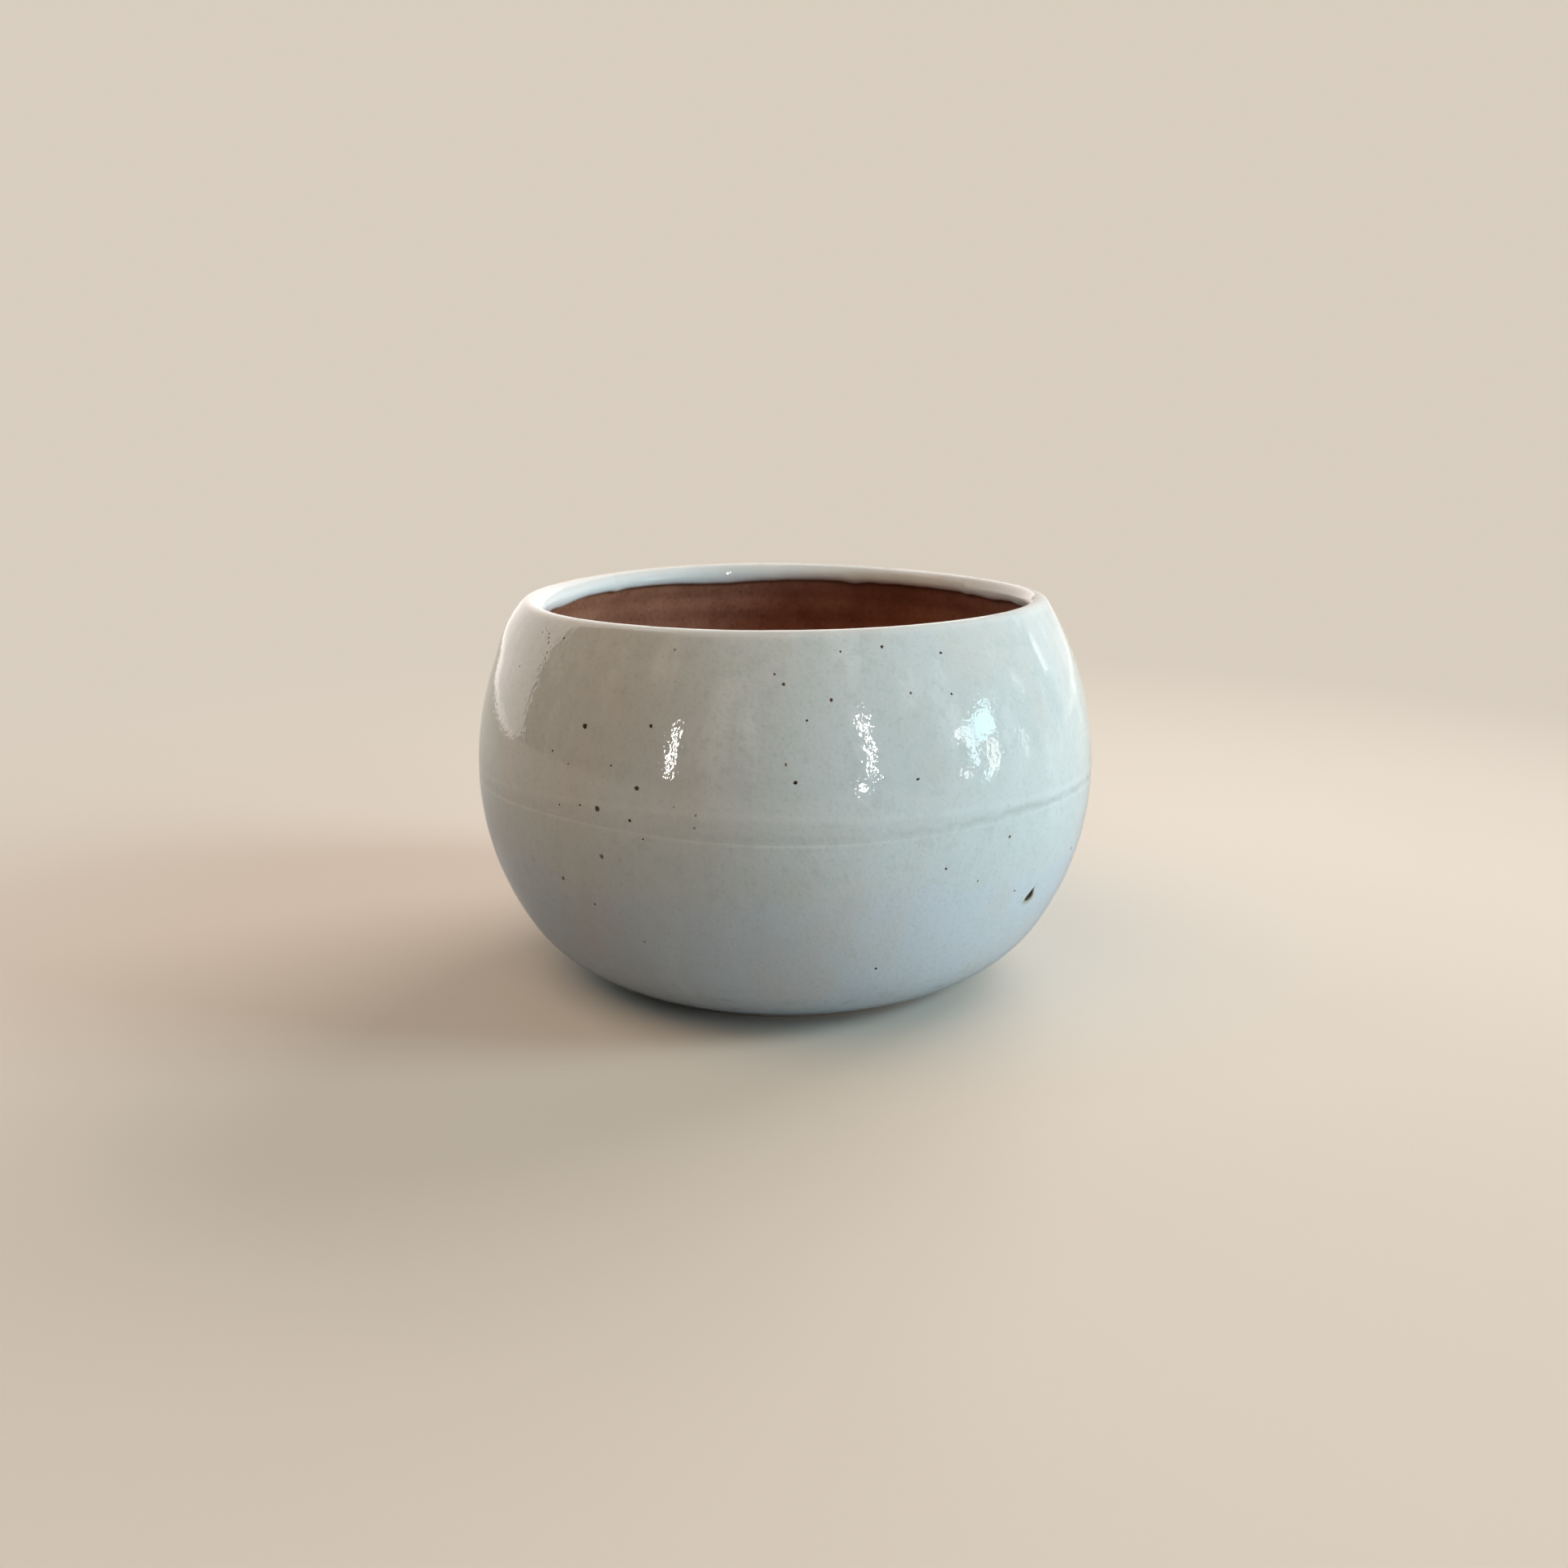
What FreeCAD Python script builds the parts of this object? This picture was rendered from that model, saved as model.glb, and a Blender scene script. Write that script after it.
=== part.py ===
"""Go stone bowl: a thrown stoneware bowl with a milky glaze, as a parametric FreeCAD document.

The bowl is a solid of revolution about Z. Its origin is on the axis, on the plane that the foot rests on.
It has three sub-parts: the clay body, and two thin coats of glaze that meet at the belly, the widest
height. Every profile is drawn in the half plane X >= 0 of XZ and is made of the same few arcs:

    shoulder   from the belly up to the lip, centred at the belly's height
    lip        a full round over the top of the wall
    inside     the inner face from the lip down to the belly, also centred at the belly's height
    lower      from the belly down, centred at the belly's height
    heel       a tighter arc that turns the lower wall in towards the foot

The clay's outside is the glazed outside moved inwards by the thickness of the glaze, so it has the same
centres and smaller radii.
"""
import FreeCAD, Part
import math
import os

import Sketcher

DIMENSIONS = {
    "bowl_height": 65.0,         # foot plane to the crest of the glazed lip
    "belly_radius": 53.0,        # widest glazed radius
    "belly_height": 36.0,        # height of the widest place, where the two coats meet
    "shoulder_arc": 52.0,
    "lower_arc": 47.0,
    "heel_arc": 23.0,
    "heel_start_angle": 32.0,    # degrees below the belly at which the heel arc begins
    "lip_thickness": 3.5,        # clay and both faces of glaze
    "inside_arc": 60.0,          # bare inside wall from the lip down; the wall thickens towards the belly
    "glaze_thickness": 0.5,
    "inner_glaze_height": 61.7,  # where the upper coat ends, a little way down inside the lip
    "bare_heel_width": 1.0,      # bare clay between the foot's side and the lower coat
    "foot_radius": 31.8,
    "foot_bevel": 0.6,           # small bevel around the foot's outer edge
    "foot_ring_width": 5.5,      # flat face that the bowl rests on
    "recess_depth": 2.5,         # hollow under the floor, inside the foot ring
    "recess_taper": 1.5,         # how far the recess narrows towards its ceiling
    "floor_height": 8.5,         # inside floor above the foot plane
    "floor_corner_arc": 12.0,    # round between the floor and the inside wall
}
GLAZED = ""
BARE = " - Sizes.glaze_thickness"
START, END, CENTRE = 1, 2, 3
ORIGIN = (-1, 1)


def add_sheet(doc):
    """Put every driving dimension in a spreadsheet cell that has an alias."""
    sheet = doc.addObject("Spreadsheet::Sheet", "Sizes")
    for row, (alias, value) in enumerate(DIMENSIONS.items(), start=1):
        sheet.set(f"A{row}", alias)
        sheet.set(f"B{row}", str(value))
        sheet.setAlias(f"B{row}", alias)
    doc.recompute()


def polar(centre, radius, degrees):
    """The point at an angle on a circle."""
    angle = math.radians(degrees)
    return centre[0] + radius * math.cos(angle), centre[1] + radius * math.sin(angle)


class WallShape:
    """First positions of the wall's arcs. The sketches' constraints make them exact."""

    def __init__(self, size):
        lip_round = size["lip_thickness"] / 2
        lip_rise = size["bowl_height"] - lip_round - size["belly_height"]
        self.lip_angle = math.degrees(math.asin(lip_rise / (size["shoulder_arc"] - lip_round)))
        self.shoulder_centre = (size["belly_radius"] - size["shoulder_arc"], size["belly_height"])
        self.lower_centre = (size["belly_radius"] - size["lower_arc"], size["belly_height"])
        self.lip_centre = polar(self.shoulder_centre, size["shoulder_arc"] - lip_round, self.lip_angle)
        inside_reach = size["inside_arc"] + lip_round - size["glaze_thickness"]
        self.inside_angle = math.degrees(math.asin(lip_rise / inside_reach))
        inside_offset = inside_reach * math.cos(math.radians(self.inside_angle))
        self.inside_centre = (self.lip_centre[0] - inside_offset, size["belly_height"])
        self.heel_angle = -size["heel_start_angle"]
        heel_reach = size["lower_arc"] - size["heel_arc"]
        self.heel_centre = polar(self.lower_centre, heel_reach, self.heel_angle)


class Profile:
    """A closed outline in a body's XZ plane, with its sizes bound to the sheet."""

    def __init__(self, body, name):
        self.sketch = body.newObject("Sketcher::SketchObject", name)
        planes = body.Origin.OriginFeatures
        plane = next(feature for feature in planes if feature.Role == "XZ_Plane")
        self.sketch.AttachmentSupport = [(plane, "")]
        self.sketch.MapMode = "FlatFace"

    def line(self, start, end):
        ends = FreeCAD.Vector(*start, 0), FreeCAD.Vector(*end, 0)
        return self.sketch.addGeometry(Part.LineSegment(*ends), False)

    def arc(self, centre, radius, start_angle, end_angle):
        """An arc that runs anticlockwise between two angles in degrees."""
        circle = Part.Circle(FreeCAD.Vector(*centre, 0), FreeCAD.Vector(0, 0, 1), radius)
        angles = math.radians(start_angle), math.radians(end_angle)
        return self.sketch.addGeometry(Part.ArcOfCircle(circle, *angles), False)

    def relate(self, kind, *places):
        self.sketch.addConstraint(Sketcher.Constraint(kind, *places))

    def join(self, first, second):
        self.relate("Coincident", *first, *second)

    def join_smoothly(self, first, second):
        self.relate("Tangent", *first, *second)

    def bind(self, kind, places, expression):
        """Add a dimension that starts at its present value and is driven by the sheet."""
        number = self.sketch.addConstraint(Sketcher.Constraint(kind, *places, self.measure(kind, places)))
        self.sketch.setExpression(f"Constraints[{number}]", expression)

    def measure(self, kind, places):
        """The present value of a dimension, from the geometry as drawn."""
        if kind == "Radius":
            return self.sketch.Geometry[places[0]].Radius
        if kind == "Angle":
            arc = self.sketch.Geometry[places[0]]
            return arc.LastParameter - arc.FirstParameter
        point = self.sketch.getPoint(places[2], places[3])
        return point.x if kind == "DistanceX" else point.y

    def radius(self, arc, expression):
        self.bind("Radius", (arc,), expression)

    def height(self, place, expression):
        self.bind("DistanceY", (*ORIGIN, *place), expression)

    def reach(self, place, expression):
        """Distance from the bowl's axis."""
        self.bind("DistanceX", (*ORIGIN, *place), expression)


def draw_shoulder(profile, size, shape, cover):
    """The outside above the belly and the round of the lip, as two arcs."""
    depth = size["glaze_thickness"] if cover == BARE else 0.0
    lip_round = size["lip_thickness"] / 2 - depth
    shoulder = profile.arc(shape.shoulder_centre, size["shoulder_arc"] - depth, 0, shape.lip_angle)
    lip = profile.arc(shape.lip_centre, lip_round, shape.lip_angle, shape.inside_angle + 180)

    profile.height((shoulder, CENTRE), "Sizes.belly_height")
    profile.radius(shoulder, "Sizes.shoulder_arc" + cover)
    profile.join_smoothly((shoulder, END), (lip, START))
    profile.radius(lip, "Sizes.lip_thickness / 2" + cover)
    profile.height((lip, CENTRE), "Sizes.bowl_height - Sizes.lip_thickness / 2")
    return shoulder, lip


def draw_inside(profile, size, shape, cover, lip, low_angle):
    """The inner face of the wall, from an angle above the belly's height up to the lip's round."""
    depth = size["glaze_thickness"] if cover == GLAZED else 0.0
    inside = profile.arc(shape.inside_centre, size["inside_arc"] - depth, low_angle, shape.inside_angle)
    profile.height((inside, CENTRE), "Sizes.belly_height")
    profile.join_smoothly((lip, END), (inside, END))
    profile.radius(inside, "Sizes.inside_arc" + (BARE if cover == GLAZED else GLAZED))
    return inside


def draw_lower_wall(profile, size, shape, cover):
    """The outside below the belly, as the lower arc and the heel arc."""
    depth = size["glaze_thickness"] if cover == BARE else 0.0
    lower = profile.arc(shape.lower_centre, size["lower_arc"] - depth, shape.heel_angle, 0)
    heel_end = math.degrees(math.acos((size["foot_radius"] - shape.heel_centre[0]) / size["heel_arc"]))
    heel = profile.arc(shape.heel_centre, size["heel_arc"] - depth, -heel_end, shape.heel_angle)

    profile.height((lower, CENTRE), "Sizes.belly_height")
    profile.radius(lower, "Sizes.lower_arc" + cover)
    profile.bind("Angle", (lower,), "Sizes.heel_start_angle * 1 deg")
    profile.join_smoothly((lower, START), (heel, END))
    profile.radius(heel, "Sizes.heel_arc" + cover)
    return lower, heel


def draw_seam(profile, size, outer_end, inner_end):
    """The level edge where the two coats meet, through the glaze at the belly."""
    belly = size["belly_radius"], size["belly_height"]
    seam = profile.line(belly, (belly[0] - size["glaze_thickness"], belly[1]))
    profile.join(outer_end, (seam, START))
    profile.join(inner_end, (seam, END))
    profile.relate("Horizontal", seam)
    profile.height((seam, START), "Sizes.belly_height")
    profile.reach((seam, START), "Sizes.belly_radius" + GLAZED)
    profile.reach((seam, END), "Sizes.belly_radius" + BARE)


def draw_chain(profile, points):
    """Straight lines through the points, joined end to end."""
    lines = [profile.line(start, end) for start, end in zip(points, points[1:])]
    for first, second in zip(lines, lines[1:]):
        profile.join((first, END), (second, START))
    return lines


def revolve(body, profile, name):
    turn = body.newObject("PartDesign::Revolution", name)
    turn.Profile = profile.sketch
    turn.ReferenceAxis = (profile.sketch, ["V_Axis"])
    turn.Angle = 360


def add_body(doc, name):
    body = doc.addObject("PartDesign::Body", name)
    body.Label = name
    body.Placement = FreeCAD.Placement()
    return body


def make_clay_body(doc, size, shape):
    """Wall, lip, floor and foot ring, thrown and trimmed as one piece."""
    body = add_body(doc, "clay_body")
    profile = Profile(body, "clay_profile")
    shoulder, lip = draw_shoulder(profile, size, shape, BARE)
    lower, heel = draw_lower_wall(profile, size, shape, BARE)
    profile.reach((shoulder, START), "Sizes.belly_radius" + BARE)
    profile.height((shoulder, START), "Sizes.belly_height")
    profile.join((shoulder, START), (lower, END))

    # The inside follows the outside down to a round corner and a flat floor.
    inside = draw_inside(profile, size, shape, BARE, lip, 0)
    inner_arc = shape.inside_centre[0] + size["inside_arc"] - shape.lower_centre[0]
    corner_centre = polar(shape.lower_centre, inner_arc - size["floor_corner_arc"], -31)
    inner_lower = profile.arc(shape.lower_centre, inner_arc, -31, 0)
    corner = profile.arc(corner_centre, size["floor_corner_arc"], -90, -31)
    floor_edge = (corner_centre[0], size["floor_height"])
    profile.height((inside, START), "Sizes.belly_height")
    profile.join((inner_lower, CENTRE), (lower, CENTRE))
    profile.join((inner_lower, END), (inside, START))
    profile.join_smoothly((inner_lower, START), (corner, END))
    profile.radius(corner, "Sizes.floor_corner_arc")

    # Floor, axis, recess and foot ring.
    foot = size["foot_radius"]
    rest_outer = foot - size["foot_bevel"]
    rest_inner = rest_outer - size["foot_ring_width"]
    recess = rest_inner - size["recess_taper"], size["recess_depth"]
    points = [floor_edge, (0, size["floor_height"]), (0, recess[1]), recess, (rest_inner, 0)]
    points += [(rest_outer, 0), (foot, size["foot_bevel"]), (foot, 2.0)]
    floor, axis, ceiling, taper, rest, bevel, side = draw_chain(profile, points)
    profile.join_smoothly((corner, START), (floor, START))
    profile.join((side, END), (heel, START))
    for level in (floor, ceiling, rest):
        profile.relate("Horizontal", level)
    for upright in (axis, side):
        profile.relate("Vertical", upright)
    profile.height((floor, END), "Sizes.floor_height")
    profile.relate("PointOnObject", axis, START, -2)
    profile.height((ceiling, START), "Sizes.recess_depth")
    profile.relate("PointOnObject", rest, START, -1)
    profile.reach((side, START), "Sizes.foot_radius")
    profile.height((side, START), "Sizes.foot_bevel")
    profile.reach((rest, END), "Sizes.foot_radius - Sizes.foot_bevel")
    inner_edge = "Sizes.foot_radius - Sizes.foot_bevel - Sizes.foot_ring_width"
    profile.reach((rest, START), inner_edge)
    profile.reach((ceiling, END), inner_edge + " - Sizes.recess_taper")
    revolve(body, profile, "clay_turned")
    return body


def make_lower_coat(doc, size, shape):
    """Glaze from just above the foot up to the belly."""
    body = add_body(doc, "glaze_lower_coat")
    profile = Profile(body, "lower_coat_profile")
    outer, outer_heel = draw_lower_wall(profile, size, shape, GLAZED)
    inner, inner_heel = draw_lower_wall(profile, size, shape, BARE)
    edge = size["foot_radius"] + size["bare_heel_width"]
    foot_end = profile.line((edge, 2.0), (edge, 1.2))
    draw_seam(profile, size, (outer, END), (inner, END))
    profile.join((inner_heel, START), (foot_end, START))
    profile.join((outer_heel, START), (foot_end, END))
    profile.relate("Vertical", foot_end)
    profile.reach((foot_end, START), "Sizes.foot_radius + Sizes.bare_heel_width")
    revolve(body, profile, "lower_coat_turned")
    return body


def make_upper_coat(doc, size, shape):
    """Glaze from the belly up, over the lip and a little way down inside."""
    body = add_body(doc, "glaze_upper_coat")
    profile = Profile(body, "upper_coat_profile")
    outer, outer_lip = draw_shoulder(profile, size, shape, GLAZED)
    inner, inner_lip = draw_shoulder(profile, size, shape, BARE)
    edge_rise = size["inner_glaze_height"] - size["belly_height"]
    edge_angle = math.degrees(math.asin(edge_rise / size["inside_arc"]))
    face = draw_inside(profile, size, shape, GLAZED, outer_lip, edge_angle)
    back = draw_inside(profile, size, shape, BARE, inner_lip, edge_angle)
    inside_edge = polar(shape.inside_centre, size["inside_arc"], edge_angle)
    inner_end = profile.line((inside_edge[0] - size["glaze_thickness"], inside_edge[1]), inside_edge)
    draw_seam(profile, size, (outer, START), (inner, START))
    profile.join((face, START), (inner_end, START))
    profile.join((back, START), (inner_end, END))
    profile.relate("Horizontal", inner_end)
    profile.height((inner_end, START), "Sizes.inner_glaze_height")
    revolve(body, profile, "upper_coat_turned")
    return body


def check_document(doc, bodies):
    """Stop if a feature failed or a sub-part isn't one valid solid."""
    for item in doc.Objects:
        if "Invalid" in item.State or "Error" in item.State:
            raise RuntimeError(f"{item.Name} failed to recompute: {item.State}")
        if item.TypeId == "Sketcher::SketchObject" and item.solve() != 0:
            raise RuntimeError(f"the constraints of {item.Name} don't solve")
    for body in bodies:
        if body.Shape.isNull() or not body.Shape.isValid() or len(body.Shape.Solids) != 1:
            raise RuntimeError(f"{body.Label} isn't one valid solid")


def main():
    doc = FreeCAD.newDocument("go_stone_bowl")
    add_sheet(doc)
    shape = WallShape(DIMENSIONS)
    makers = (make_clay_body, make_lower_coat, make_upper_coat)
    bodies = [make(doc, DIMENSIONS, shape) for make in makers]
    doc.recompute()
    check_document(doc, bodies)
    os.makedirs("parts", exist_ok=True)
    for body in bodies:
        body.Shape.exportStep(f"parts/{body.Label}.step")
        box = body.Shape.optimalBoundingBox()
        print(f"{body.Label}: volume {body.Shape.Volume / 1000:.1f} cm3, "
              f"radius {box.XMax:.2f} mm, height {box.ZMin:.2f} to {box.ZMax:.2f} mm")


main()
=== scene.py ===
"""The looks of the go stone bowl: hand-thrown clay under two dips of milky glaze.

Every piece is a surface of revolution with its own unevenness. The clay's outline is rebuilt from the
same few arcs as the CAD model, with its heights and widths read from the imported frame. The angle round
the bowl is zero at the front, -Y, and grows towards +X. Lengths are in metres, unless a table says mm.
"""

import math

import bpy
import numpy as np
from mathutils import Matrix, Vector, noise


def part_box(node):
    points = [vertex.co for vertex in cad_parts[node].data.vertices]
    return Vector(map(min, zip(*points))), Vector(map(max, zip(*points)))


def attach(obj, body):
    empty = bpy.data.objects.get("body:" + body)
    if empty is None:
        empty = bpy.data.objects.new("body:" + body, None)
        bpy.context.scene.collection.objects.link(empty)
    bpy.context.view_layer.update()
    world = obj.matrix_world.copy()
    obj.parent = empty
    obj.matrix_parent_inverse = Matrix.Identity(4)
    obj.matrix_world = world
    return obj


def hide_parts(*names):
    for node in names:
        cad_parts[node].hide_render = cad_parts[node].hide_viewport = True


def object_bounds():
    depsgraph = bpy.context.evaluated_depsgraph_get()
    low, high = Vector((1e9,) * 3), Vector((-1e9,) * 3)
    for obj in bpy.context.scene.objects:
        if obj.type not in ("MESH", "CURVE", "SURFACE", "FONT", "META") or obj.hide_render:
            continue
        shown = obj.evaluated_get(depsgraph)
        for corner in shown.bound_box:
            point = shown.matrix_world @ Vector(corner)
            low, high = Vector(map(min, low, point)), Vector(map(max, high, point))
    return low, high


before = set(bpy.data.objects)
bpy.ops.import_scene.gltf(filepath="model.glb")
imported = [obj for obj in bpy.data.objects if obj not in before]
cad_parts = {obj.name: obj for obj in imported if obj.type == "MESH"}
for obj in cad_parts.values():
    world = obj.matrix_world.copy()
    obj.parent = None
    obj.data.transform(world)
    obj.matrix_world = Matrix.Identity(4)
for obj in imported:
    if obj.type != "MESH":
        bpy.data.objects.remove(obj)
CAD_LOW, CAD_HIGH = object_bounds()

MM = 0.001
TURN = 2 * math.pi
SEAM_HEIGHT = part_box("glaze_upper_coat")[0].z
BELLY_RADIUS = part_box("glaze_upper_coat")[1].x
CLAY_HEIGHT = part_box("clay_body")[1].z
GLAZE = CAD_HIGH.z - CLAY_HEIGHT
# The section's other driving dimensions, the same as the CAD model's.
SHOULDER_ARC = 52 * MM
LOWER_ARC = 47 * MM
HEEL_ARC = 23 * MM
HEEL_START = 32  # degrees below the belly
LIP_THICKNESS = 3.5 * MM
INSIDE_ARC = 60 * MM
FOOT_RADIUS = 31.8 * MM
FOOT_BEVEL = 0.6 * MM
FOOT_RING_WIDTH = 5.5 * MM
RECESS_DEPTH = 2.5 * MM
RECESS_TAPER = 1.5 * MM
FLOOR_HEIGHT = 8.5 * MM
FLOOR_CORNER = 12 * MM


# ---------------------------------------------------------------- the clay's outline

def polar(centre, radius, degrees):
    """Points at angles on a circle."""
    angle = np.radians(degrees)
    return np.stack([centre[0] + radius * np.cos(angle), centre[1] + radius * np.sin(angle)], -1)


def arc_points(centre, radius, start, end):
    """Points every half degree or so along an arc, angles in degrees."""
    count = max(3, int(abs(end - start) * 2))
    return polar(centre, radius, np.linspace(start, end, count))


class Outline:
    """The clay's section as (radius, height) against the distance along it.

    It runs from the middle of the recess, out and up the outside, over the lip and down the inside to the
    middle of the floor. The normal points out of the clay.
    """

    def __init__(self):
        shoulder = (BELLY_RADIUS - SHOULDER_ARC, SEAM_HEIGHT)
        lower = (BELLY_RADIUS - LOWER_ARC, SEAM_HEIGHT)
        lip_round = LIP_THICKNESS / 2
        lip_height = CAD_HIGH.z - lip_round
        lip_angle = math.degrees(math.asin((lip_height - SEAM_HEIGHT) / (SHOULDER_ARC - lip_round)))
        lip = polar(shoulder, SHOULDER_ARC - lip_round, lip_angle)
        inside_reach = INSIDE_ARC + lip_round - GLAZE
        inside_angle = math.degrees(math.asin((lip_height - SEAM_HEIGHT) / inside_reach))
        inside = (lip[0] - inside_reach * math.cos(math.radians(inside_angle)), SEAM_HEIGHT)
        heel = polar(lower, LOWER_ARC - HEEL_ARC, -HEEL_START)
        inner_arc = inside[0] + INSIDE_ARC - lower[0]
        corner_height = FLOOR_HEIGHT + FLOOR_CORNER
        corner_reach = inner_arc - FLOOR_CORNER
        corner_angle = -math.degrees(math.asin((SEAM_HEIGHT - corner_height) / corner_reach))
        corner = polar(lower, corner_reach, corner_angle)
        heel_end = -math.degrees(math.acos((FOOT_RADIUS - heel[0]) / (HEEL_ARC - GLAZE)))
        rest_outer = FOOT_RADIUS - FOOT_BEVEL
        rest_inner = rest_outer - FOOT_RING_WIDTH

        runs = {
            "recess": [(0, RECESS_DEPTH), (rest_inner - RECESS_TAPER, RECESS_DEPTH)],
            "recess_side": [(rest_inner, 0)],
            "rest": [(rest_outer, 0)],
            "foot": [(FOOT_RADIUS, FOOT_BEVEL)],
            "heel": arc_points(heel, HEEL_ARC - GLAZE, heel_end, -HEEL_START),
            "lower": arc_points(lower, LOWER_ARC - GLAZE, -HEEL_START, 0),
            "shoulder": arc_points(shoulder, SHOULDER_ARC - GLAZE, 0, lip_angle),
            "lip": arc_points(lip, lip_round - GLAZE, lip_angle, inside_angle + 180),
            "inside": arc_points(inside, INSIDE_ARC, inside_angle, 0),
            "inner_lower": arc_points(lower, inner_arc, 0, corner_angle),
            "corner": arc_points(corner, FLOOR_CORNER, corner_angle, -90),
            "floor": [(0, FLOOR_HEIGHT)],
        }
        points, self.start = [], {}
        for name, run in runs.items():
            self.start[name] = len(points)
            points.extend(np.asarray(run, float))
        points = np.array(points)
        steps = np.hypot(*np.diff(points, axis=0).T)
        self.distance = np.concatenate([[0], np.cumsum(steps)])
        self.start = {name: self.distance[index] for name, index in self.start.items()}
        self.length = self.distance[-1]
        self.points = points
        self.crest = self.distance[np.argmax(points[:, 1])]

    def at(self, distance):
        """Radius and height at a distance along the outline."""
        radius = np.interp(distance, self.distance, self.points[:, 0])
        height = np.interp(distance, self.distance, self.points[:, 1])
        return radius, height

    def normal(self, distance, reach=0.25 * MM):
        """Unit normal, from points a little way to either side, which also softens the corners."""
        before = self.at(np.clip(distance - reach, 0, self.length))
        after = self.at(np.clip(distance + reach, 0, self.length))
        along = np.stack([after[0] - before[0], after[1] - before[1]])
        along /= np.maximum(np.hypot(*along), 1e-12)
        return along[1], -along[0]

    def distance_at_height(self, height, first, last):
        """The distance with a height, on a part of the outline that only rises or only falls."""
        part = (self.distance >= first) & (self.distance <= last)
        heights, distances = self.points[part, 1], self.distance[part]
        order = np.argsort(heights)
        return np.interp(height, heights[order], distances[order])


OUTLINE = Outline()


# ---------------------------------------------------------------- unevenness made by hand

# Slow waves of the thrown wall: (size, waves round the bowl, phase in degrees).
WALL_OUTWARDS = ((0.12 * MM, 2, 40), (0.08 * MM, 3, 200), (0.05 * MM, 5, 10))
LIP_UPWARDS = ((0.36 * MM, 1, -34), (0.3 * MM, 2, -51), (0.15 * MM, 3, 133))
SEED_STEPS = (17.3, 5.1, 9.7)
RING_STEP = 3.7


def ripple(angle, terms):
    """Sum of waves, each (size, waves round the bowl, phase in degrees)."""
    return sum(size * np.cos(waves * angle + math.radians(phase)) for size, waves, phase in terms)


def noise_field(points, scale, seed):
    """Smooth noise from about -1 to 1, with features about 1 / scale across."""
    shift = Vector([seed * step for step in SEED_STEPS])
    flat = points.reshape(-1, 3)
    values = [noise.noise(Vector(point) * scale + shift) for point in flat]
    return np.array(values).reshape(points.shape[:-1])


def noise_line(angle, waves, seed):
    """Noise round the bowl that meets itself, with about the given number of waves."""
    radius = waves / TURN
    level = np.full_like(angle, seed * RING_STEP)
    points = np.stack([np.sin(angle) * radius, np.cos(angle) * radius, level], -1)
    return noise_field(points, 1.0, seed)


def place(radius, height, angle):
    """Points from cylinder coordinates, with the angle from the front."""
    return np.stack([radius * np.sin(angle), -radius * np.cos(angle), height * np.ones_like(angle)], -1)


def body_lean(angle, height):
    """How far the thrown wall strays from true, outwards and upwards."""
    rise = np.clip(height / CAD_HIGH.z, 0, 1)
    outwards = rise * ripple(angle, WALL_OUTWARDS)
    near_lip = smooth_step((height - 0.75 * CAD_HIGH.z) / (0.25 * CAD_HIGH.z))
    upwards = near_lip * ripple(angle, LIP_UPWARDS)
    return outwards, upwards


def throwing_rings(angle, height, pitch):
    """A spiral left by the fingers, from -1 to 1."""
    return np.sin(TURN * height / pitch + angle)


def smooth_step(value):
    """A soft change from 0 to 1."""
    value = np.clip(value, 0, 1)
    return value * value * (3 - 2 * value)


def round_edge(value):
    """Height of a quarter round: 0 at its edge, 1 from a distance of 1 on."""
    value = np.clip(value, 0, 1)
    return np.sqrt(1 - (1 - value) ** 2)


def hump(value):
    """A rounded hump, 1 at zero and near 0 from a distance of 2 on."""
    return np.exp(-(value ** 2))


def angle_between(first, second):
    """Signed difference of two angles, from minus half a turn to half a turn."""
    return (first - second + math.pi) % TURN - math.pi


# ---------------------------------------------------------------- meshes of revolution

def even_angles(count):
    """Evenly spaced angles round the bowl."""
    return np.linspace(0, TURN, count, endpoint=False)


def refine(values, centre, reach, spacing):
    """Add closer values around a centre."""
    return np.unique(np.concatenate([values, np.arange(centre - reach, centre + reach, spacing)]))


def grid_object(name, points, closed_rows, material):
    """A mesh from points[row, column]: columns go round the bowl; rows either close up or end in poles."""
    rows, columns = points.shape[:2]
    index = np.arange(rows * columns).reshape(rows, columns)
    following = np.roll(index, -1, axis=1)
    above = np.roll(index, -1, axis=0) if closed_rows else index[1:]
    above_following = np.roll(above, -1, axis=1)
    here = index if closed_rows else index[:-1]
    here_following = following if closed_rows else following[:-1]
    quads = np.stack([here, here_following, above_following, above], -1).reshape(-1, 4)
    vertices = points.reshape(-1, 3)
    faces = [tuple(int(v) for v in quad) for quad in quads]
    if not closed_rows:
        poles = [points[0].mean(axis=0), points[-1].mean(axis=0)]
        first, last = len(vertices), len(vertices) + 1
        vertices = np.vstack([vertices, poles])
        for column in range(columns):
            after = (column + 1) % columns
            faces.append((first, int(index[0, after]), int(index[0, column])))
            faces.append((last, int(index[-1, column]), int(index[-1, after])))
    mesh = bpy.data.meshes.new(name)
    mesh.from_pydata(vertices.tolist(), [], faces)
    mesh.polygons.foreach_set("use_smooth", [True] * len(mesh.polygons))
    mesh.materials.append(material)
    mesh.update()
    piece = bpy.data.objects.new(name, mesh)
    bpy.context.scene.collection.objects.link(piece)
    return piece


def add_values(piece, name, values):
    """A value at every vertex in order, zero for those left over, for the materials to read."""
    attribute = piece.data.attributes.new(name, "FLOAT", "POINT")
    every = np.zeros(len(piece.data.vertices), np.float32)
    every[: values.size] = values.ravel()
    attribute.data.foreach_set("value", every)


# ---------------------------------------------------------------- edges of the glaze

INNER_GLAZE_HEIGHT = 62.1 * MM
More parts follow.
